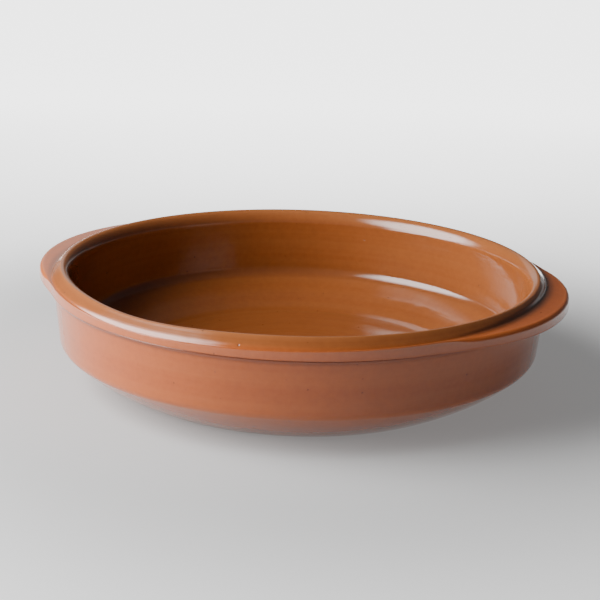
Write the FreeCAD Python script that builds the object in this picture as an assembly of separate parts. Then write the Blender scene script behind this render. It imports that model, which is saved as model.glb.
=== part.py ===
import FreeCAD, Part
import math
import os

# Round earthenware cazuela with two ledge handles, turned and pressed as one piece.
# Millimetres, +Z up, +X through the handles, origin at the centre of the flat base.

V = FreeCAD.Vector

# Overall sizes
RIM_DIAMETER = 259.0        # across the outer face of the rim band
HEIGHT = 59.5               # base to the crest of the rim
BASE_DIAMETER = 188.0       # flat part that stands on the table
HANDLE_REACH = 10.2         # how far each handle stands out beyond the band

# Rim: insets are measured inward from the band's face, drops down from the crest
BAND_TOP_DROP = 7.5         # where the band's upright face ends and its rounding begins
BAND_HEIGHT = 2.7           # upright face of the band
BAND_ROUNDING = 5.6         # broad rounding from the band's face into the sloping top
CREST_INSET = 6.3           # centre line of the crest
CREST_ROUNDING = 1.0        # outer rounding of the crest
INNER_ROUNDING = 5.4        # rounding from the crest down to the inner wall

# Crease under the rim
CREASE_INSET = 2.4          # bottom of the crease under the band
CREASE_HEIGHT = 2.0         # from the band down to the plain wall, over the bead
BEAD_RISE = 0.6             # how far the small bead stands out

# Wall and underside
WALL_INSET = 2.6            # top of the plain wall
WALL_TAPER = 2.7            # how much the wall closes in on its way down
WALL_LOW = 20.0             # height where the wall turns in under the dish
UNDER_BULGE = 1.3           # how far the underside's middle stands out from a straight cone
SHOULDER_ROUNDING = 6.0     # rounding between wall and underside

# Inside
FLOOR_THICKNESS = 8.0       # clay under the flat floor
FLOOR_INSET = 6.0           # edge of the flat floor, inward from the edge of the base
FLOOR_ROUNDING = 12.0       # hollow between the floor and the sloping part
CORNER_RISE = 4.0           # the inner corner lies this much above the outer one
CORNER_ROUNDING = 7.0       # hollow between the sloping part and the inner wall
INNER_TAPER = 0.6           # how much the inner wall closes in on its way down

# Handles
TIP_ROUNDING = 102.0        # rounding of the tip, seen from above
LEDGE_DROP = 3.5            # top of the ledge at the tip, down from the crest
LEDGE_FALL = 1.0            # how much lower the ledge is where its sides meet the band
LEDGE_EDGE_TOP = 2.2        # rounding of the ledge's upper edge
LEDGE_EDGE_LOW = 1.2        # slope taken off the ledge's lower edge
ROOT_DEPTH = 6.5            # how far the handle's clay reaches into the rim, from the band's face
TUCK = 0.6                  # how far the handle's sides dive into the band

# Hollow between crest and ledge
HOLLOW_INSET = 3.2          # foot of the crest on the handle's centre line
HOLLOW_OFFSET = 13.0        # shift of the hollow's centre, which lets it run out sideways
HOLLOW_LEAN = 22.0          # lean of the crest's outer side there, degrees
HOLLOW_ROUNDING = 1.8       # rounding at the bottom of the hollow

BAND_RADIUS = RIM_DIAMETER / 2.0
BAND_TOP = HEIGHT - BAND_TOP_DROP
BAND_BOTTOM = BAND_TOP - BAND_HEIGHT
CREST_RADIUS = BAND_RADIUS - CREST_INSET
BASE_RADIUS = BASE_DIAMETER / 2.0
TIP_RADIUS = BAND_RADIUS + HANDLE_REACH
LEDGE_HEIGHT = HEIGHT - LEDGE_DROP
NEAR = 0.01


def polar(radius, angle, z=0.0):
    """Point at a radius and an angle in degrees round the dish's axis."""
    a = math.radians(angle)
    return V(radius * math.cos(a), radius * math.sin(a), z)


def line(start, end):
    return Part.makeLine(start, end)


def rounded_corner(before, corner, after, radius):
    """Start, middle and end point of the arc that rounds a corner of straight sides."""
    a = before - corner
    b = after - corner
    a.normalize()
    b.normalize()
    half = a.getAngle(b) / 2.0
    reach = radius / math.tan(half)
    toward = a + b
    toward.normalize()
    centre = corner + toward * (radius / math.sin(half))
    return corner + a * reach, centre - toward * radius, corner + b * reach


def stood_out(start, end, bulge):
    """Point half way between two others that stands out from them, outward on the way down."""
    way = end - start
    side = V(-way.z, 0.0, way.x)
    side.normalize()
    return (start + end) * 0.5 + side * bulge


def split_corner(before, corner, after, radius):
    """Two equal arcs that together round a corner of straight sides."""
    start, middle, end = rounded_corner(before, corner, after, radius)
    toward = middle - corner
    toward.normalize()
    half = (before - corner).getAngle(after - corner) / 2.0
    centre = corner + toward * (radius / math.sin(half))
    arcs = []
    for first, last in ((start, middle), (middle, end)):
        way = (first + last) * 0.5 - centre
        way.normalize()
        arcs.append(Part.Arc(first, centre + way * radius, last).toShape())
    return arcs


def direction(angle):
    """Unit step in the XZ plane at an angle in radians, from +X toward +Z."""
    return V(math.cos(angle), 0, math.sin(angle))


def arc_about(centre, radius, first, last):
    """Arc round a centre in the XZ plane between two angles in radians."""
    ends = [centre + direction(angle) * radius for angle in (first, (first + last) / 2.0, last)]
    return Part.Arc(*ends).toShape()


def rim_outline():
    """Crest, sloping top, rounded band and the crease with its bead, from inside to outside."""
    crest = V(CREST_RADIUS, 0, HEIGHT - CREST_ROUNDING)
    shoulder = V(BAND_RADIUS - BAND_ROUNDING, 0, BAND_TOP)
    way = shoulder - crest
    facing = math.atan2(way.z, way.x) + math.acos((CREST_ROUNDING - BAND_ROUNDING) / way.Length)
    slope_high = crest + direction(facing) * CREST_ROUNDING
    slope_low = shoulder + direction(facing) * BAND_ROUNDING
    band_low = V(BAND_RADIUS, 0, BAND_BOTTOM)
    crease = V(BAND_RADIUS - CREASE_INSET, 0, BAND_BOTTOM)
    bead = V(BAND_RADIUS - WALL_INSET + BEAD_RISE, 0, BAND_BOTTOM - CREASE_HEIGHT / 2.0)
    wall_top = V(BAND_RADIUS - WALL_INSET, 0, BAND_BOTTOM - CREASE_HEIGHT)
    return [
        arc_about(crest, CREST_ROUNDING, math.pi / 2.0, facing),
        line(slope_high, slope_low),
        arc_about(shoulder, BAND_ROUNDING, facing, 0.0),
        line(V(BAND_RADIUS, 0, BAND_TOP), band_low),
        line(band_low, crease),
        line(crease, bead),
        line(bead, wall_top),
    ]


def outside_outline():
    """Wall, shoulder, underside and flat base, from the crease down to the axis."""
    wall_top = V(BAND_RADIUS - WALL_INSET, 0, BAND_BOTTOM - CREASE_HEIGHT)
    wall_low = V(wall_top.x - WALL_TAPER, 0, WALL_LOW)
    base_edge = V(BASE_RADIUS, 0, 0)
    under = stood_out(wall_low, base_edge, UNDER_BULGE)
    shoulder = rounded_corner(wall_top, wall_low, under, SHOULDER_ROUNDING)
    return [
        line(wall_top, shoulder[0]),
        Part.Arc(*shoulder).toShape(),
        line(shoulder[2], under),
        line(under, base_edge),
        line(base_edge, V(0, 0, 0)),
    ]


def inside_outline():
    """Floor, sloping part, inner wall and the rounding up to the crest, from the axis outward."""
    inner_radius = CREST_RADIUS - INNER_ROUNDING
    centre = V(0, 0, FLOOR_THICKNESS)
    floor_edge = V(BASE_RADIUS - FLOOR_INSET, 0, FLOOR_THICKNESS)
    corner = V(inner_radius - INNER_TAPER, 0, WALL_LOW + CORNER_RISE)
    wall_top = V(inner_radius, 0, HEIGHT - INNER_ROUNDING)
    floor_turn = rounded_corner(centre, floor_edge, corner, FLOOR_ROUNDING)
    wall_turn = rounded_corner(floor_edge, corner, wall_top, CORNER_ROUNDING)
    rim_corner = V(inner_radius, 0, HEIGHT)
    crest_top = V(CREST_RADIUS, 0, HEIGHT)
    edges = [
        line(centre, floor_turn[0]),
        Part.Arc(*floor_turn).toShape(),
        line(floor_turn[2], wall_turn[0]),
        Part.Arc(*wall_turn).toShape(),
        line(wall_turn[2], wall_top),
    ]
    edges += split_corner(wall_top, rim_corner, crest_top, INNER_ROUNDING)
    return edges


def turned_dish():
    """The round dish as one turned solid, with the seam of its faces away from the handles."""
    edges = inside_outline() + rim_outline() + outside_outline()
    edges.append(line(V(0, 0, 0), V(0, 0, FLOOR_THICKNESS)))
    wire = Part.Wire(Part.__sortEdges__(edges))
    turned = Part.Face(wire).revolve(V(0, 0, 0), V(0, 0, 1), 360)
    turned.rotate(V(0, 0, 0), V(0, 0, 1), 90)
    return turned


def handle_spread():
    """Angle, seen from above, where a handle's sides leave the tip arc and meet the band."""
    return math.degrees(math.acos((BAND_RADIUS - TUCK - TIP_ROUNDING) / (TIP_RADIUS - TIP_ROUNDING)))


def handle_plan(z):
    """Plan of one handle at +X: a round tip whose sides run tangent into the rim band."""
    spread = handle_spread()
    side_radius = BAND_RADIUS - TUCK
    root_radius = BAND_RADIUS - ROOT_DEPTH
    tip_centre = V(TIP_RADIUS - TIP_ROUNDING, 0, z)
    arc_end = tip_centre + polar(TIP_ROUNDING, spread)
    arc_start = tip_centre + polar(TIP_ROUNDING, -spread)
    side_end = polar(side_radius, spread, z)
    side_start = polar(side_radius, -spread, z)
    root_end = polar(root_radius, spread, z)
    root_start = polar(root_radius, -spread, z)
    edges = [
        line(side_start, arc_start),
        Part.Arc(arc_start, V(TIP_RADIUS, 0, z), arc_end).toShape(),
        line(arc_end, side_end),
        line(side_end, root_end),
        Part.Arc(root_end, V(root_radius, 0, z), root_start).toShape(),
        line(root_start, side_start),
    ]
    return Part.Face(Part.Wire(edges))


def tilt_about_tip(shape):
    """Turn a shape, drawn level with the ledge's tip, so that it falls toward the dish."""
    run = TIP_RADIUS - polar(BAND_RADIUS - TUCK, handle_spread()).x
    tilt = math.degrees(math.atan(LEDGE_FALL / run))
    shape.rotate(V(TIP_RADIUS, 0, LEDGE_HEIGHT), V(0, 1, 0), -tilt)
    return shape


def outer_edges(shape, level):
    """Edges along the handle's free side, on its level underside or on its tilted top."""
    limit = BAND_RADIUS - TUCK - NEAR
    found = []
    for edge in shape.Edges:
        ends = [vertex.Point for vertex in edge.Vertexes]
        if min(math.hypot(p.x, p.y) for p in ends) < limit:
            continue
        heights = [p.z - BAND_BOTTOM for p in ends]
        if level and max(heights) < NEAR:
            found.append(edge)
        if not level and min(heights) > LEDGE_EDGE_LOW:
            found.append(edge)
    return found


def handle():
    """One handle: the plan pulled up, cut off by the tilted top, with its outer edges eased."""
    blank = handle_plan(BAND_BOTTOM).extrude(V(0, 0, HEIGHT - BAND_BOTTOM))
    size = 2.0 * TIP_RADIUS
    top = Part.makeBox(size, size, HEIGHT, V(0, -TIP_RADIUS, LEDGE_HEIGHT))
    blank = blank.cut(tilt_about_tip(top))
    blank = blank.makeFillet(LEDGE_EDGE_TOP, outer_edges(blank, False))
    return blank.makeChamfer(LEDGE_EDGE_LOW, outer_edges(blank, True))


def hollow():
    """Cutter for the hollow between crest and ledge, with a rounded lower corner."""
    radius = BAND_RADIUS - HOLLOW_INSET + HOLLOW_OFFSET
    rise = 2.0 * BAND_TOP_DROP
    reach = 4.0 * HANDLE_REACH
    low = V(radius, 0, LEDGE_HEIGHT)
    top = V(radius - rise * math.tan(math.radians(HOLLOW_LEAN)), 0, LEDGE_HEIGHT + rise)
    far_low = V(radius + reach, 0, LEDGE_HEIGHT)
    far_top = V(radius + reach, 0, LEDGE_HEIGHT + rise)
    corner = rounded_corner(top, low, far_low, HOLLOW_ROUNDING)
    edges = [
        line(top, corner[0]),
        Part.Arc(*corner).toShape(),
        line(corner[2], far_low),
        line(far_low, far_top),
        line(far_top, top),
    ]
    ring = Part.Face(Part.Wire(edges)).revolve(V(0, 0, 0), V(0, 0, 1), 120)
    ring.rotate(V(0, 0, 0), V(0, 0, 1), -60)
    ring.translate(V(-HOLLOW_OFFSET, 0, 0))
    return tilt_about_tip(ring)


def cazuela():
    """Dish with its two handles as one solid."""
    body = turned_dish()
    for turn in (0, 180):
        ledge = handle()
        cutter = hollow()
        ledge.rotate(V(0, 0, 0), V(0, 0, 1), turn)
        cutter.rotate(V(0, 0, 0), V(0, 0, 1), turn)
        body = body.fuse(ledge).cut(cutter)
    return body.removeSplitter()


dish = cazuela()
if len(dish.Solids) == 1:
    dish = dish.Solids[0]

box = dish.BoundBox
print("valid", dish.isValid(), "solids", len(dish.Solids), "faces", len(dish.Faces))
print("size", round(box.XLength, 2), round(box.YLength, 2), round(box.ZLength, 2))
print("volume cm3", round(dish.Volume / 1000.0, 1))

os.makedirs("parts", exist_ok=True)
dish.exportStep("parts/dish.step")
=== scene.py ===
# %% [markdown]
# # A glazed earthenware cazuela
# A cazuela is a shallow round dish of red clay, thrown on a wheel or pressed to
# a turned shape, with two ledge handles pulled out of its rim. This lesson
# builds its visible skin as one mesh, gives it a clear honey glaze, and lights
# it like a small product studio. Sizes are written in millimetres, as a potter
# would, and become metres only when the mesh is made.

# %% Load the measured model
import math
import bmesh
import bpy
import numpy as np
from mathutils import Matrix, Vector


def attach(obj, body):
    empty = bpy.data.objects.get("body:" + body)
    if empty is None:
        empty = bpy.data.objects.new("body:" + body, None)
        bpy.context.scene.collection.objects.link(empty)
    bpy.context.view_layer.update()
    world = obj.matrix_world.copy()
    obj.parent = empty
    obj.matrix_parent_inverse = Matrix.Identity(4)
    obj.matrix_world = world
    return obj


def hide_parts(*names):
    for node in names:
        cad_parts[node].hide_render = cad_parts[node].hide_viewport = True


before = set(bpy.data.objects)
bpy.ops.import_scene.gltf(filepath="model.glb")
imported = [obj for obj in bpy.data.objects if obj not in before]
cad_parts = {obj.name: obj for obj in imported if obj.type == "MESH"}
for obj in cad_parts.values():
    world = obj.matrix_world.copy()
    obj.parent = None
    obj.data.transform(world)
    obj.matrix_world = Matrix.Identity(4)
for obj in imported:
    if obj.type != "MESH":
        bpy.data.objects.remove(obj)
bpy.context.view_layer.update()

# %% [markdown]
# ## Sizes
# The same named sizes drive the measured model, so the skin lies on it. The rim
# is the hard part: a narrow crest, a slope down to an upright band, and a small
# crease under the band where the wall begins. Radii are counted from the axis,
# heights from the table.

# %% Sizes of the dish in millimetres
MM = 0.001
BAND_RADIUS = 129.5
HEIGHT = 59.5
BASE_RADIUS = 94.0
BAND_TOP = HEIGHT - 7.5
BAND_BOTTOM = BAND_TOP - 2.7
CREST_RADIUS = BAND_RADIUS - 6.3
CREST_ROUNDING = 1.0
BAND_ROUNDING = 5.6
INNER_ROUNDING = 5.4
INNER_HIGH = 8.2  # the inner rounding is taller than wide
INNER_RADIUS = CREST_RADIUS - INNER_ROUNDING
CREASE_RADIUS = BAND_RADIUS - 2.4
WALL_TOP_RADIUS = BAND_RADIUS - 2.6
WALL_TOP = BAND_BOTTOM - 2.0
WALL_LOW_RADIUS = WALL_TOP_RADIUS - 2.7
WALL_LOW = 20.0
FLOOR_HEIGHT = 8.0

# %% Sizes of the two ledge handles in millimetres
TIP_RADIUS = BAND_RADIUS + 10.2
TIP_ROUNDING = 102.0
LEDGE_HEIGHT = HEIGHT - 3.5
LEDGE_FALL = 1.0
SIDE_RADIUS = BAND_RADIUS - 0.6
HOLLOW_OFFSET = 13.0
HOLLOW_RADIUS = BAND_RADIUS - 3.2 + HOLLOW_OFFSET
HOLLOW_SLOPE = 1.0 / math.tan(math.radians(22.0))
TIP_CENTRE = TIP_RADIUS - TIP_ROUNDING
SPREAD = math.acos((SIDE_RADIUS - TIP_ROUNDING) / TIP_CENTRE)
LEDGE_TILT = LEDGE_FALL / (TIP_RADIUS - SIDE_RADIUS * math.cos(SPREAD))
print("each handle spreads", round(2 * math.degrees(SPREAD)), "degrees of the rim")

# %% [markdown]
# ## Soft corners
# Wet glaze and a potter's sponge leave no sharp corner. Where two surfaces of
# the rim meet, a smooth minimum or maximum runs one into the other over a short
# width, instead of a fillet on each edge. It works on whole arrays at once.

# %% Smooth minimum and maximum
def soft_min(first, second, width):
    mix = np.clip(0.5 + 0.5 * (second - first) / width, 0.0, 1.0)
    return second * (1 - mix) + first * mix - width * mix * (1 - mix)


def soft_max(first, second, width):
    return -soft_min(-first, -second, width)


def fade(value, start, end):
    t = np.clip((value - start) / (end - start), 0.0, 1.0)
    return t * t * (3.0 - 2.0 * t)


# %% [markdown]
# ## Plan of the rim
# Seen from above, the dish is a circle and each handle is a flatter circle in
# front of it, joined by straight sides that just touch both. The function gives
# the outer reach for an angle measured from the nearest handle's centre line.

# %% Outer reach of rim and handles
def outer_reach(angle):
    off_centre = TIP_CENTRE * np.sin(angle)
    round_tip = TIP_CENTRE * np.cos(angle) + np.sqrt(TIP_ROUNDING**2 - off_centre**2)
    straight_side = SIDE_RADIUS / np.cos(np.clip(SPREAD - angle, -1.0, 1.0))
    side_starts = math.atan2(
        TIP_ROUNDING * math.sin(SPREAD),
        TIP_CENTRE + TIP_ROUNDING * math.cos(SPREAD),
    )
    beyond_tip = np.where(angle < SPREAD, straight_side, SIDE_RADIUS)
    handle = np.where(angle < side_starts, round_tip, beyond_tip)
    return soft_max(handle, np.full_like(handle, BAND_RADIUS), 0.5) - 0.02


print("tip reaches", round(float(outer_reach(np.array([0.0]))[0]), 2), "mm")

# %% [markdown]
# ## Top of the rim
# Outside the crest the top is a height over every point: the plain slope of the
# rim, cut by a hollow that swings round a centre of its own, above a ledge that
# falls toward the dish. Because the hollow's circle is larger and shifted, it
# fades out by itself at both sides of a handle, as a thumb pressed along the
# rim would leave it.

# %% Height of the rim's top
def rim_height(radius):
    """Small rounding of the crest, a slope, and the broad rounding into the band's face."""
    crest = np.array([CREST_RADIUS, HEIGHT - CREST_ROUNDING])
    shoulder = np.array([BAND_RADIUS - BAND_ROUNDING, BAND_TOP])
    way = shoulder - crest
    lean = math.acos((CREST_ROUNDING - BAND_ROUNDING) / math.hypot(*way))
    facing = math.atan2(way[1], way[0]) + lean
    normal = np.array([math.cos(facing), math.sin(facing)])
    leave = crest + normal * CREST_ROUNDING
    meet = shoulder + normal * BAND_ROUNDING
    small_square = CREST_ROUNDING**2 - (radius - crest[0])**2
    large_square = BAND_ROUNDING**2 - (radius - shoulder[0])**2
    small = crest[1] + np.sqrt(np.clip(small_square, 0.0, None))
    large = shoulder[1] + np.sqrt(np.clip(large_square, 0.0, None))
    slope = leave[1] + (radius - leave[0]) * (meet[1] - leave[1]) / (meet[0] - leave[0])
    return np.where(radius < leave[0], small, np.where(radius < meet[0], slope, large))


def top_height(radius, angle):
    x = radius * np.cos(angle)
    y = radius * np.sin(angle)
    rim = rim_height(radius)
    ledge = LEDGE_HEIGHT - (TIP_RADIUS - x) * LEDGE_TILT
    swing = np.hypot(x + HOLLOW_OFFSET, y)
    hollow = ledge + soft_max((HOLLOW_RADIUS - swing) * HOLLOW_SLOPE, np.zeros_like(swing), 1.6)
    return soft_max(soft_min(rim, hollow, 0.7), ledge, 0.4)


valley = top_height(np.array([BAND_RADIUS - 2.9]), np.array([0.0]))[0]
print("valley behind the handle:", round(float(valley), 1), "mm high")

# %% [markdown]
# ## Section of the dish
# A thrown dish is one section turned about the axis. The section is written as
# runs of points, from the middle of the floor up the inside, over the rim, down
# the outside and back to the middle of the base. Only the rim's part changes
# with the angle, so the others are made once.

# %% Straight and rounded runs of a section
def straight(start, end, count):
    t = np.linspace(0.0, 1.0, count, endpoint=False)[:, None]
    return np.array(start) * (1 - t) + np.array(end) * t


def rounded(before, corner, after, radius, count):
    """Straight ways to both neighbours, joined by an arc: (start, arc points, end)."""
    before, corner, after = (np.array(p, float) for p in (before, corner, after))
    a = (before - corner) / np.linalg.norm(before - corner)
    b = (after - corner) / np.linalg.norm(after - corner)
    half = math.acos(float(a @ b)) / 2.0
    inward = (a + b) / np.linalg.norm(a + b)
    centre = corner + inward * radius / math.sin(half)
    start = corner + a * radius / math.tan(half)
    end = corner + b * radius / math.tan(half)
    sweep = math.pi - 2.0 * half
    u = (start - centre) / radius
    v = (corner - centre) @ u
    across = (corner - centre) - u * v
    across /= np.linalg.norm(across)
    turn = np.linspace(0.0, sweep, count, endpoint=False)[:, None]
    return start, centre + radius * (u * np.cos(turn) + across * np.sin(turn)), end


# %% Inside: floor, soft turn, slope, corner, wall and the rounding up to the crest
floor_edge = (BASE_RADIUS - 6.0, FLOOR_HEIGHT)
inner_corner = (INNER_RADIUS - 0.6, WALL_LOW + 2.4)
inner_top = (INNER_RADIUS, HEIGHT - INNER_HIGH)
turn_start, turn_arc, turn_end = rounded((0.0, FLOOR_HEIGHT), floor_edge, inner_corner, 16.0, 9)
corner_start, corner_arc, corner_end = rounded(floor_edge, inner_corner, inner_top, 7.0, 12)
turn = np.linspace(0.0, math.pi / 2, 20, endpoint=False)
rim_arc = np.column_stack([
    CREST_RADIUS - INNER_ROUNDING * np.cos(turn),
    HEIGHT - INNER_HIGH * (1 - np.sin(turn)),
])
inside = np.vstack([
    straight((4.0, FLOOR_HEIGHT), turn_start, 14),
    turn_arc,
    straight(turn_end, corner_start, 12),
    corner_arc,
    straight(corner_end, inner_top, 9),
    rim_arc,
])
print("inside section:", len(inside), "points")

# %% Outside: crease and bead, wall, shoulder, underside and base
def curved(start, middle, end, count):
    """A gentle curve through three points."""
    start, middle, end = (np.array(p, float) for p in (start, middle, end))
    handle = 2.0 * middle - 0.5 * (start + end)
    t = np.linspace(0.0, 1.0, count, endpoint=False)[:, None]
    return start * (1 - t)**2 + handle * 2 * t * (1 - t) + end * t**2


wall_top = (WALL_TOP_RADIUS, WALL_TOP)
wall_low = (WALL_LOW_RADIUS, WALL_LOW)
base_edge = (BASE_RADIUS, 0.0)
UNDER_BULGE = 1.3
way = np.array(base_edge) - np.array(wall_low)
half_way = (np.array(wall_low) + np.array(base_edge)) / 2
outward = np.array([-way[1], way[0]]) / np.linalg.norm(way)
under_middle = half_way + outward * UNDER_BULGE
shoulder_start, shoulder_arc, shoulder_end = rounded(wall_top, wall_low, under_middle, 6.0, 9)
foot_start, foot_arc, foot_end = rounded(under_middle, base_edge, (0.0, 0.0), 1.4, 5)
bead = (WALL_TOP_RADIUS + 0.6, BAND_BOTTOM - 1.0)
crease = (CREASE_RADIUS, BAND_BOTTOM)
bead_top = (CREASE_RADIUS + 0.05, BAND_BOTTOM - 0.35)
bead_low = (WALL_TOP_RADIUS + 0.12, WALL_TOP + 0.15)
outside = np.vstack([
    straight(crease, bead_top, 3),
    curved(bead_top, bead, bead_low, 7),
    straight(bead_low, wall_top, 2),
    straight(wall_top, shoulder_start, 20),
    shoulder_arc,
    curved(shoulder_end, under_middle, foot_start, 14),
    foot_arc,
    straight(foot_end, (6.0, 0.0), 6),
])
print("outside section:", len(outside), "points")

# %% [markdown]
# ## The rim all the way round
# For every angle the rim gets the same number of points, so the rings line up
# and the mesh is a clean grid of quads. The points crowd together where the
# hollow rises to the crest, because that is where the light breaks.

# %% Rim points for one angle
TOP_POINTS = 34
def rim_points(angle):
    reach = float(outer_reach(np.array([angle]))[0])
    handle = float(fade(reach, BAND_RADIUS + 0.2, BAND_RADIUS + 3.5))
    edge_top = 0.3 + 1.9 * handle
    edge_low = 0.5 + 0.7 * handle
    t = np.linspace(0.0, 1.0, TOP_POINTS)
    radius = CREST_RADIUS + (reach - edge_top - CREST_RADIUS) * t**1.35
    top = np.column_stack([radius, top_height(radius, np.full_like(radius, angle))])
    fall = (top[-1, 1] - top[-2, 1]) / (top[-1, 0] - top[-2, 0])
    lean = math.atan(-fall)
    turn = np.linspace(lean, math.pi / 2, 8)[1:]
    edge = np.column_stack([
        top[-1, 0] + edge_top * (np.sin(turn) - math.sin(lean)) / (1 - math.sin(lean)),
        top[-1, 1] - edge_top * (math.cos(lean) - np.cos(turn)),
    ])
    side = straight(edge[-1], (reach, BAND_BOTTOM + edge_low), 5)[1:]
    turn = np.linspace(0.0, math.pi / 2, 6)
    low = np.column_stack([
        reach - edge_low * (1 - np.cos(turn)),
        BAND_BOTTOM + edge_low * (1 - np.sin(turn)),
    ])
    under = straight(low[-1], crease, 7)[1:]
    return np.vstack([top, edge, side, low, under])


sample = rim_points(0.0)
print("rim section:", len(sample), "points, tip at", np.round(sample[:, 0].max(), 2))

# %% [markdown]
# ## Turned by hand
# The real dish isn't machine-true: the wall drifts in and out by a tenth of a
# millimetre or two as it goes round, and the rim hangs a little lower at the
# front left, where a hand lifted the soft dish off the wheel. Both only take
# clay away, so the skin never grows past the measured size.

# %% Slight unevenness of a hand-turned wall
def drift(radius, height, angle):
    slow = np.sin(2 * angle + 0.7 + 0.02 * height) + 0.6 * np.sin(3 * angle + 2.1 - 0.05 * height)
    rings = 0.5 * np.sin(height * 1.1 + 1.3 * np.sin(angle)) + 0.3 * np.sin(height * 2.7 + angle)
    return 0.09 * (slow - 1.6) + 0.03 * (rings - 0.8)


LOWEST = math.radians(-105.0)  # where the rim hangs lowest, seen from above
DIP_SPREAD = math.radians(20.0)
DIP_DEPTH = 1.7


def dip(angle):
    """How much lower the rim hangs on its front left side, in millimetres."""
    whole_front = 0.35 * max(0.0, math.cos(angle + math.radians(80.0)))
    off = math.atan2(math.sin(angle - LOWEST), math.cos(angle - LOWEST))
    return whole_front + DIP_DEPTH * math.exp(-(off / DIP_SPREAD)**2)


# %% All sections side by side: a grid of points
RINGS = 432
angles = np.linspace(0.0, 2 * math.pi, RINGS, endpoint=False)
sections = []
for angle in angles:
    nearest = abs(math.atan2(abs(math.sin(angle)), abs(math.cos(angle))))
    section = np.vstack([inside, rim_points(nearest), outside])
    moved = drift(section[:, 0], section[:, 1], angle) * fade(section[:, 0], 60.0, 100.0)
    radius = section[:, 0] + moved
    above = np.clip(section[:, 1] - BAND_BOTTOM, 0.0, None) / (HEIGHT - BAND_BOTTOM)
    height = section[:, 1] - dip(angle) * above
    sections.append(np.column_stack([radius * math.cos(angle), radius * math.sin(angle), height]))
points = np.array(sections)
count = points.shape[1]

print("grid:", RINGS, "angles by", count, "points")

# %% [markdown]
# ## Where the glaze is thin or deep, and painted light and shade
# Glaze creeps off sharp edges and pools in hollows while it melts. One number per
# point, worked out from how the section bends, is negative on ridges and positive
# in hollows. The material lightens ridges and darkens hollows with it: partly the
# glaze's own thin and deep places, partly painted highlight on the ridges and
# painted shade in the hollows. The band and the crease under it get more, painted
# shade only. A second number darkens the inside and the rim's top: painted shade.
# The material reads both numbers for colour.

# %% Glaze depth, painted highlight and painted shade, from the bend of the section
EVEN_STEP = 0.5   # millimetres between the samples
SMOOTHING = 9     # samples that are averaged
FULL_BEND = 0.25  # radians per millimetre that count as a full ridge or hollow


def glaze_depth_and_painted_light():
    radius = np.hypot(points[..., 0], points[..., 1])
    height = points[..., 2]
    line = np.stack([radius, height], axis=-1)
    step = np.linalg.norm(np.diff(line, axis=1), axis=-1)
    along = np.concatenate([np.zeros((RINGS, 1)), np.cumsum(step, axis=1)], axis=1)
    depth = np.zeros_like(radius)
    for i in range(RINGS):
        even = np.arange(0.0, along[i, -1], EVEN_STEP)
        r = np.interp(even, along[i], radius[i])
        z = np.interp(even, along[i], height[i])
        wide = np.ones(SMOOTHING) / SMOOTHING
        for _ in range(2):
            r = np.convolve(np.pad(r, SMOOTHING // 2, mode="edge"), wide, mode="valid")
            z = np.convolve(np.pad(z, SMOOTHING // 2, mode="edge"), wide, mode="valid")
        heading = np.unwrap(np.arctan2(np.gradient(z), np.gradient(r)))
        depth[i] = np.interp(along[i], even, np.gradient(heading, EVEN_STEP))
    return np.clip(depth / FULL_BEND, -1.0, 1.0)


depth = glaze_depth_and_painted_light()
print("glaze depth from", round(float(depth.min()), 2), "to", round(float(depth.max()), 2))

# %% Painted shade over the band and the crease, and the reach of the painted shade inside and on the rim's top
BAND_SHADE_AT = BAND_BOTTOM + 2.2
BAND_SHADE_WIDTH = 3.2
INSIDE_SHADE_ENDS = BAND_BOTTOM + 3.4
LEDGE_STARTS = BAND_RADIUS - 2.5
heights = points[:, :, 2]
reaches = np.hypot(points[:, :, 0], points[:, :, 1])
outer = np.arange(count) >= len(inside)
# Painted shade: a darker belt over the band and the crease under it.
painted_band_shade = np.where(outer, np.exp(-((heights - BAND_SHADE_AT) / BAND_SHADE_WIDTH)**2), 0.0)
depth = np.clip(depth + painted_band_shade, -1.0, 1.0)
# Painted shade on the inside and the rim's top; it fades out above the band and toward the ledge.
on_rim = 1.0 - np.clip((reaches - LEDGE_STARTS) / 4.0, 0.0, 1.0)
over_rim = np.clip((heights - INSIDE_SHADE_ENDS) / 3.0, 0.0, 1.0) * on_rim
inside_shade = np.where(outer, over_rim, 1.0)
print("lining covers", round(100 * float(inside_shade.mean())), "percent of the points")

# %% Build the skin from the grid
skin = bmesh.new()
layer = skin.verts.layers.float.new("glaze_depth_and_painted_light")
inside_shade_layer = skin.verts.layers.float.new("painted_inside_shade")
rows = [[skin.verts.new(point * MM) for point in section] for section in points]
for row, lays, shares in zip(rows, depth, inside_shade):
    for vertex, lay, share in zip(row, lays, shares):
        vertex[layer] = float(lay)
        vertex[inside_shade_layer] = float(share)
floor_middle = skin.verts.new((0.0, 0.0, FLOOR_HEIGHT * MM))
floor_middle[inside_shade_layer] = 1.0
base_middle = skin.verts.new((0.0, 0.0, 0.0))
for i in range(RINGS):
    this, following = rows[i], rows[(i + 1) % RINGS]
    for j in range(count - 1):
        skin.faces.new((this[j], following[j], following[j + 1], this[j + 1]))
    skin.faces.new((floor_middle, following[0], this[0]))
    skin.faces.new((base_middle, this[-1], following[-1]))
bmesh.ops.recalc_face_normals(skin, faces=skin.faces)
for face in skin.faces:
    face.smooth = True

# %% Turn the grid into an object of its own
mesh = bpy.data.meshes.new("glazed_dish")
skin.to_mesh(mesh)
skin.free()
dish = bpy.data.objects.new("glazed_dish", mesh)
bpy.context.scene.collection.objects.link(dish)
print("skin:", len(mesh.vertices), "points,", 2 * len(mesh.polygons), "triangles")

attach(dish, "root")
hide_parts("dish")

# %% [markdown]
# ## Honey glaze over red clay
# The glaze is a thin clear glass that shows the red clay through it. So the
# colour belongs to a matt body with almost no sheen of its own, and the gloss
# to a smooth coat of index 1.55 on top. That split is what lets the eye see
# deep orange clay and sharp white reflections at the same time. Colours are read
# as sRGB hex and turned linear by one function, and all pattern sizes are given
# in millimetres.

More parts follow.
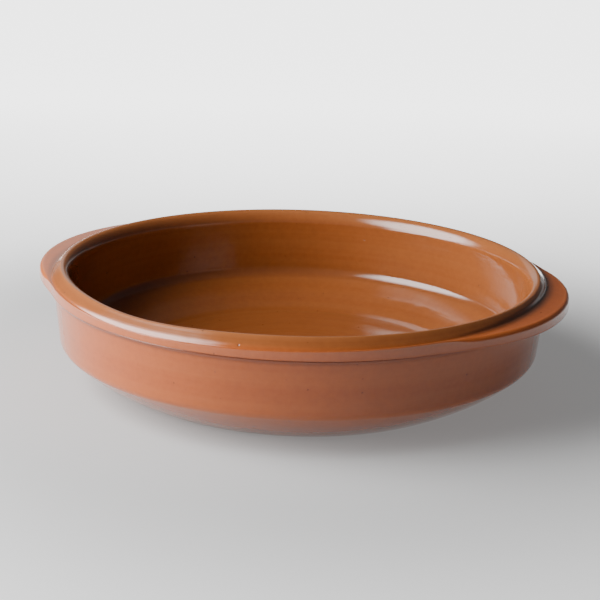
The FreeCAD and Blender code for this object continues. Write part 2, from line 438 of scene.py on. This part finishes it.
# %% Small helpers for colours, pattern sizes and nodes
def colour(code):
    parts = [int(code[i:i + 2], 16) / 255.0 for i in (1, 3, 5)]
    linear = [c / 12.92 if c <= 0.04045 else ((c + 0.055) / 1.055)**2.4 for c in parts]
    return (*linear, 1.0)


def per_metre(size_mm):
    """Pattern scale whose features are about this many millimetres wide."""
    return 1000.0 / size_mm


def add(tree, kind, inputs=None, **settings):
    """One node with its settings. An input is a value, or a socket to link from."""
    made = tree.nodes.new(kind)
    for name, value in settings.items():
        setattr(made, name, value)
    for name, value in (inputs or {}).items():
        if isinstance(value, bpy.types.NodeSocket):
            tree.links.new(value, made.inputs[name])
        else:
            made.inputs[name].default_value = value
    return made


# %% Coordinates: plain millimetre space, and one that follows the turning
glaze = bpy.data.materials.new("clear_honey_glaze_over_red_clay")
glaze.use_nodes = True
tree = glaze.node_tree
tree.nodes.clear()
place = add(tree, "ShaderNodeTexCoord").outputs["Object"]
parts = add(tree, "ShaderNodeSeparateXYZ", {"Vector": place}).outputs
flat = add(tree, "ShaderNodeCombineXYZ", {"X": parts["X"], "Y": parts["Y"]}).outputs["Vector"]
from_axis = add(tree, "ShaderNodeVectorMath", {0: flat}, operation="LENGTH").outputs["Value"]
across = add(tree, "ShaderNodeMath", {
    0: parts["Z"], 1: from_axis,
}, operation="SUBTRACT").outputs["Value"]
slow_x = add(tree, "ShaderNodeMath", {
    0: parts["X"], 1: 0.012,
}, operation="MULTIPLY").outputs["Value"]
slow_y = add(tree, "ShaderNodeMath", {
    0: parts["Y"], 1: 0.012,
}, operation="MULTIPLY").outputs["Value"]
turning = add(tree, "ShaderNodeCombineXYZ", {
    "X": slow_x, "Y": slow_y, "Z": across,
}).outputs["Vector"]

# %% Colour: blotches of the kiln, fine mottle, and glaze depth with painted highlight and shade
blotch = add(tree, "ShaderNodeTexNoise", {
    "Vector": place, "Scale": per_metre(45), "Detail": 3.0, "Roughness": 0.5,
})
mottle = add(tree, "ShaderNodeTexNoise", {
    "Vector": place, "Scale": per_metre(3), "Detail": 5.0, "Roughness": 0.65,
})
bands = add(tree, "ShaderNodeTexNoise", {
    "Vector": turning, "Scale": per_metre(4), "Detail": 3.0, "Roughness": 0.6,
})
lay = add(tree, "ShaderNodeAttribute", attribute_name="glaze_depth_and_painted_light").outputs["Fac"]
body = add(tree, "ShaderNodeMix", {
    "Factor": blotch.outputs["Fac"], "A": colour("#9c4d20"), "B": colour("#8f451c"),
}, data_type="RGBA")
fine = add(tree, "ShaderNodeMapRange", {
    "Value": mottle.outputs["Fac"],
    "From Min": 0.3, "From Max": 0.7, "To Min": 0.0, "To Max": 0.35,
})
mottled = add(tree, "ShaderNodeMix", {
    "Factor": fine.outputs["Result"], "A": body.outputs["Result"], "B": colour("#763715"),
}, data_type="RGBA")
ringed = add(tree, "ShaderNodeMapRange", {
    "Value": bands.outputs["Fac"],
    "From Min": 0.35, "From Max": 0.7, "To Min": 0.0, "To Max": 0.22,
})
banded = add(tree, "ShaderNodeMix", {
    "Factor": ringed.outputs["Result"], "A": mottled.outputs["Result"], "B": colour("#a65c2d"),
}, data_type="RGBA")
# Painted shade: hollows and the crease go darker, partly glaze that pools there.
pooled_and_shaded_share = add(tree, "ShaderNodeMapRange", {
    "Value": lay, "From Min": 0.15, "From Max": 1.0, "To Min": 0.0, "To Max": 0.6,
})
deep = add(tree, "ShaderNodeMix", {
    "Factor": pooled_and_shaded_share.outputs["Result"], "A": banded.outputs["Result"], "B": colour("#59240f"),
}, data_type="RGBA")
# Painted highlight: ridges go lighter, partly glaze that runs thin there.
thin_and_highlighted_share = add(tree, "ShaderNodeMapRange", {
    "Value": lay, "From Min": -0.25, "From Max": -1.0, "To Min": 0.0, "To Max": 0.45,
})
thin = add(tree, "ShaderNodeMix", {
    "Factor": thin_and_highlighted_share.outputs["Result"], "A": deep.outputs["Result"], "B": colour("#ae6132"),
}, data_type="RGBA")

# %% Iron specks and pin holes
cells = add(tree, "ShaderNodeTexVoronoi", {"Vector": place, "Scale": per_metre(7)}, feature="F1")
speck = add(tree, "ShaderNodeMapRange", {
    "Value": cells.outputs["Distance"],
    "From Min": 0.05, "From Max": 0.09, "To Min": 1.0, "To Max": 0.0,
})
rare = add(tree, "ShaderNodeMath", {0: mottle.outputs["Fac"], 1: 0.52}, operation="GREATER_THAN")
few = add(tree, "ShaderNodeMath", {
    0: speck.outputs["Result"], 1: rare.outputs["Value"],
}, operation="MULTIPLY")
half = add(tree, "ShaderNodeMath", {0: few.outputs["Value"], 1: 0.55}, operation="MULTIPLY")
specked = add(tree, "ShaderNodeMix", {
    "Factor": half.outputs["Value"], "A": thin.outputs["Result"], "B": colour("#3a1a0c"),
}, data_type="RGBA")

# %% Painted shade: the inside and the rim's top are made darker and less red
inside_shade_share = add(tree, "ShaderNodeAttribute", attribute_name="painted_inside_shade").outputs["Fac"]
darker = add(tree, "ShaderNodeMix", {
    "Factor": inside_shade_share, "A": specked.outputs["Result"], "B": colour("#d1e9ff"),
}, data_type="RGBA", blend_type="MULTIPLY")

# %% Relief: turning lines, the slow swell of melted glaze and the pin holes
lines = add(tree, "ShaderNodeTexNoise", {
    "Vector": turning, "Scale": per_metre(1.4), "Detail": 2.0, "Roughness": 0.5,
})
ridges = add(tree, "ShaderNodeBump", {
    "Height": lines.outputs["Fac"], "Strength": 0.35, "Distance": 0.00012,
})
swell = add(tree, "ShaderNodeTexNoise", {
    "Vector": place, "Scale": per_metre(14), "Detail": 1.5, "Roughness": 0.4,
})
swelling = add(tree, "ShaderNodeBump", {
    "Height": swell.outputs["Fac"], "Strength": 0.5, "Distance": 0.0004,
    "Normal": ridges.outputs["Normal"],
})
pits = add(tree, "ShaderNodeBump", {
    "Height": few.outputs["Value"], "Strength": 0.4, "Distance": 0.0002,
    "Normal": swelling.outputs["Normal"],
}, invert=True)

# %% The glazed surface itself
surface = add(tree, "ShaderNodeBsdfPrincipled", {
    "Base Color": darker.outputs["Result"],
    "Roughness": 0.4,
    "IOR": 1.5,
    "Specular IOR Level": 0.04,
    "Coat Weight": 1.0,
    "Coat Roughness": 0.08,
    "Coat IOR": 1.55,
    "Normal": pits.outputs["Normal"],
    "Coat Normal": pits.outputs["Normal"],
})
add(tree, "ShaderNodeOutputMaterial", {"Surface": surface.outputs["BSDF"]})
mesh.materials.append(glaze)
print("glaze made of", len(tree.nodes), "nodes")

# %% [markdown]
# ## Floor
# The dish stands on a plain pale sheet, wide enough for every camera angle. It
# is stage, not part of the object. It matters for the looks all the same: the
# upright wall and the underside mirror it, which lays a pale veil over them.
# So the sheet glows, though it is no lamp: softly next to the dish, a painted
# shade round its foot, more in a ring around it, and most of all behind it, where
# it serves as a white backdrop.

# %% A wide pale sheet to stand on
# Behind the dish the glow fills a wedge a little wider than the picture. Round
# the dish it is faint, grows to a ring at about 35 cm and fades again.
FLOOR_REACH = 6.0
VIEW_TURN = math.radians(21.66)  # how far the viewer's side is turned from the dish's own front
sheet = bmesh.new()
bmesh.ops.create_circle(sheet, cap_ends=True, radius=FLOOR_REACH, segments=96)
floor_mesh = bpy.data.meshes.new("paper_floor")
sheet.to_mesh(floor_mesh)
sheet.free()
paper = bpy.data.materials.new("pale_paper_with_painted_glow")
paper.use_nodes = True
sheet_tree = paper.node_tree
sheet_tree.nodes.clear()
spot = add(sheet_tree, "ShaderNodeTexCoord").outputs["Object"]
behind = (-math.sin(VIEW_TURN), math.cos(VIEW_TURN), 0.0)
depth = add(sheet_tree, "ShaderNodeVectorMath", {
    0: spot, 1: behind,
}, operation="DOT_PRODUCT").outputs["Value"]
sideways = add(sheet_tree, "ShaderNodeVectorMath", {
    0: spot, 1: (math.cos(VIEW_TURN), math.sin(VIEW_TURN), 0.0),
}, operation="DOT_PRODUCT").outputs["Value"]
wide = add(sheet_tree, "ShaderNodeMath", {0: sideways}, operation="ABSOLUTE").outputs["Value"]
reach = add(sheet_tree, "ShaderNodeMath", {0: depth, 1: 1.2}, operation="ADD").outputs["Value"]
off_side = add(sheet_tree, "ShaderNodeMath", {
    0: wide, 1: reach,
}, operation="DIVIDE").outputs["Value"]
inside_sweep = add(sheet_tree, "ShaderNodeMapRange", {
    "Value": off_side, "From Min": 0.17, "From Max": 0.24, "To Min": 1.0, "To Max": 0.0,
}, interpolation_type="SMOOTHSTEP").outputs["Result"]
far_glow = add(sheet_tree, "ShaderNodeMapRange", {
    "Value": depth, "From Min": 0.10, "From Max": 0.9, "To Min": 0.0, "To Max": 3.5,
}, interpolation_type="SMOOTHSTEP").outputs["Result"]
swept = add(sheet_tree, "ShaderNodeMath", {
    0: far_glow, 1: inside_sweep,
}, operation="MULTIPLY").outputs["Value"]
from_dish = add(sheet_tree, "ShaderNodeVectorMath", {0: spot}, operation="LENGTH").outputs["Value"]
# Painted glow and shade: faint next to the dish, which darkens the sheet round its foot, brighter
# in the ring.
near_glow = add(sheet_tree, "ShaderNodeMapRange", {
    "Value": from_dish, "From Min": 0.17, "From Max": 0.35, "To Min": 0.2, "To Max": 0.9,
}, interpolation_type="SMOOTHSTEP").outputs["Result"]
ring_end = add(sheet_tree, "ShaderNodeMapRange", {
    "Value": from_dish, "From Min": 0.4, "From Max": 0.8, "To Min": 1.0, "To Max": 0.1,
}, interpolation_type="SMOOTHSTEP").outputs["Result"]
round_dish = add(sheet_tree, "ShaderNodeMath", {
    0: near_glow, 1: ring_end,
}, operation="MULTIPLY").outputs["Value"]
glow = add(sheet_tree, "ShaderNodeMath", {0: swept, 1: round_dish}, operation="ADD")
paper_surface = add(sheet_tree, "ShaderNodeBsdfPrincipled", {
    "Base Color": colour("#9c9c9c"), "Roughness": 0.9, "Specular IOR Level": 0.1,
    "Emission Color": (1.0, 1.0, 1.0, 1.0), "Emission Strength": glow.outputs["Value"],
})
add(sheet_tree, "ShaderNodeOutputMaterial", {"Surface": paper_surface.outputs["BSDF"]})
floor_mesh.materials.append(paper)
floor = bpy.data.objects.new("paper_floor", floor_mesh)
bpy.context.scene.collection.objects.link(floor)

# %% [markdown]
# ## Camera
# The picture is taken from a little above, with a long lens, and the handle on
# the right is turned toward the viewer. The camera is built from its own three
# axes, so its small roll is exact.

# %% Camera at the photograph's angle
VIEW_DOWN = math.radians(16.447)
VIEW_ROLL = math.radians(1.886)
CAMERA_PLACE = Vector((0.2874, -0.7229, 0.2693))
SENSOR_WIDTH = 36.0
FOCAL_PIXELS = 1549.6
PICTURE_PIXELS = 600.0
ahead = Vector((-math.sin(VIEW_TURN), math.cos(VIEW_TURN), 0.0))
forward = ahead * math.cos(VIEW_DOWN) + Vector((0.0, 0.0, -math.sin(VIEW_DOWN)))
level = Vector((math.cos(VIEW_TURN), math.sin(VIEW_TURN), 0.0))
upward = level.cross(forward)
right = level * math.cos(VIEW_ROLL) + upward * math.sin(VIEW_ROLL)
top_side = upward * math.cos(VIEW_ROLL) - level * math.sin(VIEW_ROLL)
lens = bpy.data.cameras.new("studio_camera")
lens.sensor_width = SENSOR_WIDTH
lens.lens = SENSOR_WIDTH * FOCAL_PIXELS / PICTURE_PIXELS
lens.clip_start = 0.01
camera = bpy.data.objects.new("studio_camera", lens)
bpy.context.scene.collection.objects.link(camera)
turned = Matrix((right, top_side, -forward)).transposed().to_4x4()
camera.matrix_world = Matrix.Translation(CAMERA_PLACE) @ turned
bpy.context.scene.camera = camera
print("lens", round(lens.lens, 1), "mm")

# %% [markdown]
# ## Light
# One large light, nearly round and with a soft edge, stands close by on the
# left, tilted down at the dish. It is the only strong light. Its own nodes fade
# it from the middle to the edge, as the cloth of a soft box does, so that its
# mirror images in the glaze have no hard border. It draws the broad white lines
# along the rim and the inner corner, and lets the far side of the dish sink into
# shade. The room is dim above and paler along the horizon, and one pale spot
# behind lays a sheen on the left handle.

# %% Large soft light on the left
def toward(turn, rise):
    """Direction counted from the viewer's side toward the left, and up from the table."""
    turn, rise = math.radians(turn), math.radians(rise)
    flat_way = -level * math.sin(turn) - ahead * math.cos(turn)
    return flat_way * math.cos(rise) + Vector((0.0, 0.0, math.sin(rise)))


SOFT_AWAY = 0.8
SOFT_SIZE = (1.2, 1.4)
SOFT_POWER = 71.0
SOFT_PLACE = (77.0, 28.0)
light = bpy.data.lights.new("soft_light", "AREA")
light.shape = "ELLIPSE"
light.size, light.size_y = SOFT_SIZE
light.energy = SOFT_POWER
soft = bpy.data.objects.new("soft_light", light)
bpy.context.scene.collection.objects.link(soft)
back = toward(*SOFT_PLACE)
wide_way = Vector((0.0, 0.0, 1.0)).cross(back).normalized()
turned = Matrix((wide_way, back.cross(wide_way), back)).transposed().to_4x4()
soft.matrix_world = Matrix.Translation(back * SOFT_AWAY) @ turned
light.use_nodes = True
lamp = light.node_tree
lamp.nodes.clear()
spread = add(lamp, "ShaderNodeNewGeometry").outputs["Parametric"]
off_centre = add(lamp, "ShaderNodeVectorMath", {
    0: spread, 1: (0.5, 0.5, 0.0),
}, operation="SUBTRACT").outputs["Vector"]
on_panel = add(lamp, "ShaderNodeVectorMath", {
    0: off_centre, 1: (1.0, 1.0, 0.0),
}, operation="MULTIPLY").outputs["Vector"]
from_centre = add(lamp, "ShaderNodeVectorMath", {0: on_panel}, operation="LENGTH").outputs["Value"]
soft_edge = add(lamp, "ShaderNodeMapRange", {
    "Value": from_centre, "From Min": 0.2, "From Max": 0.5, "To Min": 1.0, "To Max": 0.0,
}, interpolation_type="SMOOTHSTEP")
glowing = add(lamp, "ShaderNodeEmission", {"Strength": soft_edge.outputs["Result"]})
add(lamp, "ShaderNodeOutputLight", {"Surface": glowing.outputs["Emission"]})

# %% The room: dim above, paler along the horizon, one pale spot behind
world = bpy.data.worlds.new("dim_room")
bpy.context.scene.world = world
world.use_nodes = True
room = world.node_tree
room.nodes.clear()
direction = add(room, "ShaderNodeTexCoord").outputs["Generated"]
rise = add(room, "ShaderNodeSeparateXYZ", {"Vector": direction}).outputs["Z"]
tone = add(room, "ShaderNodeMapRange", {
    "Value": rise, "From Min": 0.0, "From Max": 0.14, "To Min": 0.5, "To Max": 0.08,
}, interpolation_type="SMOOTHSTEP")
toward_wall = add(room, "ShaderNodeVectorMath", {
    0: direction, 1: tuple(toward(168.0, 16.0)),
}, operation="DOT_PRODUCT").outputs["Value"]
wall_glow = add(room, "ShaderNodeMapRange", {
    "Value": toward_wall, "From Min": 0.965, "From Max": 0.99, "To Min": 0.0, "To Max": 0.55,
}, interpolation_type="SMOOTHSTEP").outputs["Result"]
whole = add(room, "ShaderNodeMath", {
    0: tone.outputs["Result"], 1: wall_glow,
}, operation="ADD").outputs["Value"]
sky = add(room, "ShaderNodeBackground", {"Color": (1.0, 1.0, 1.0, 1.0), "Strength": whole})
add(room, "ShaderNodeOutputWorld", {"Surface": sky.outputs["Background"]})
